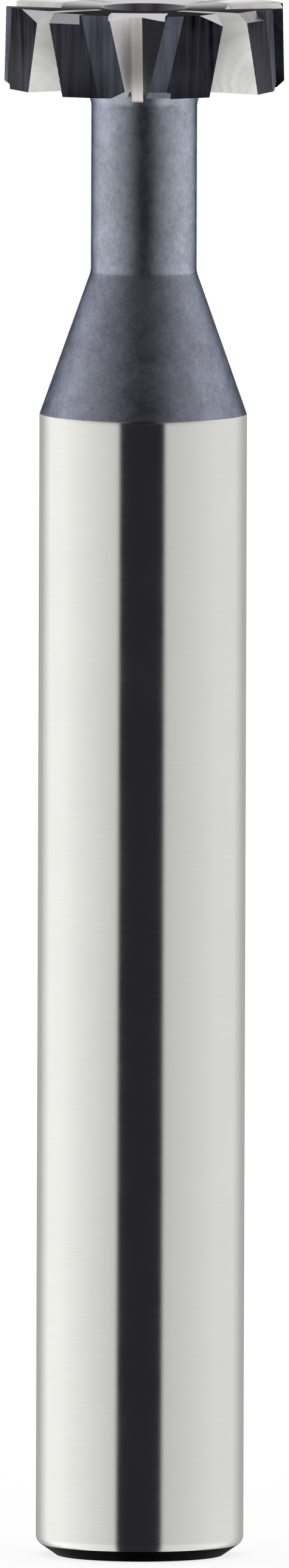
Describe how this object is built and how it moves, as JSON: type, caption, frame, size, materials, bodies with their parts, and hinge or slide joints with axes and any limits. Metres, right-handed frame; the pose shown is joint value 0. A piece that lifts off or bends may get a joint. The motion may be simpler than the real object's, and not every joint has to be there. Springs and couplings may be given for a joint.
{
  "type": "t-slot cutter",
  "caption": "Milling cutter with a staggered-tooth disc head on a thin neck, a shoulder cone and a round straight shank, for the wide lower part of a T-shaped slot.",
  "frame": {"origin": "centre of the shank's end face, which is the bottom of the part as it stands", "axes": "+Z along the axis from the shank's end to the cutting head, -Y towards the viewer of the picture, +X to the viewer's right"},
  "size_m": [0.0134, 0.0134, 0.075],
  "materials": {
    "tool_steel": "ground bright on the shank and in the tooth gashes, dark satin on the neck, the cone and the outside of the teeth"
  },
  "bodies": {
    "root": {"t_slot_cutter": "tool_steel"}
  },
  "joints": []
}
